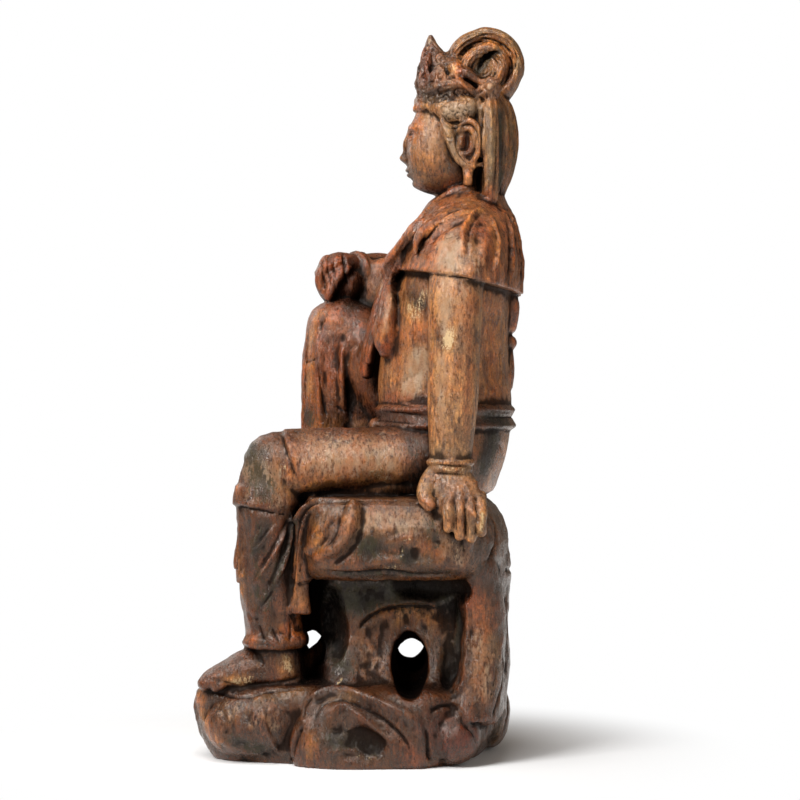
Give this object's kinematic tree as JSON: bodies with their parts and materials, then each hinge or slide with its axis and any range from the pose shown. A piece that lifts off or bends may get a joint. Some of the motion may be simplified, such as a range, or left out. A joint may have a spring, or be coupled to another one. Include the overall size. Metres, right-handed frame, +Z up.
{
  "type": "guanyin statue",
  "caption": "Carved and painted wooden bodhisattva seated at ease on a pierced rock, one knee raised, in one piece with its rock base.",
  "frame": {"origin": "on the floor under the middle of the bounding box", "axes": "+Z up, -Y to the figure's front, +X to the figure's left"},
  "size_m": [0.369, 0.4082, 0.9006],
  "materials": {
    "carved_wood": "old wood with worn paint, dark wax and pale flakes, softly glossy"
  },
  "bodies": {
    "root": {"statue_on_rock": "carved_wood"}
  },
  "joints": []
}
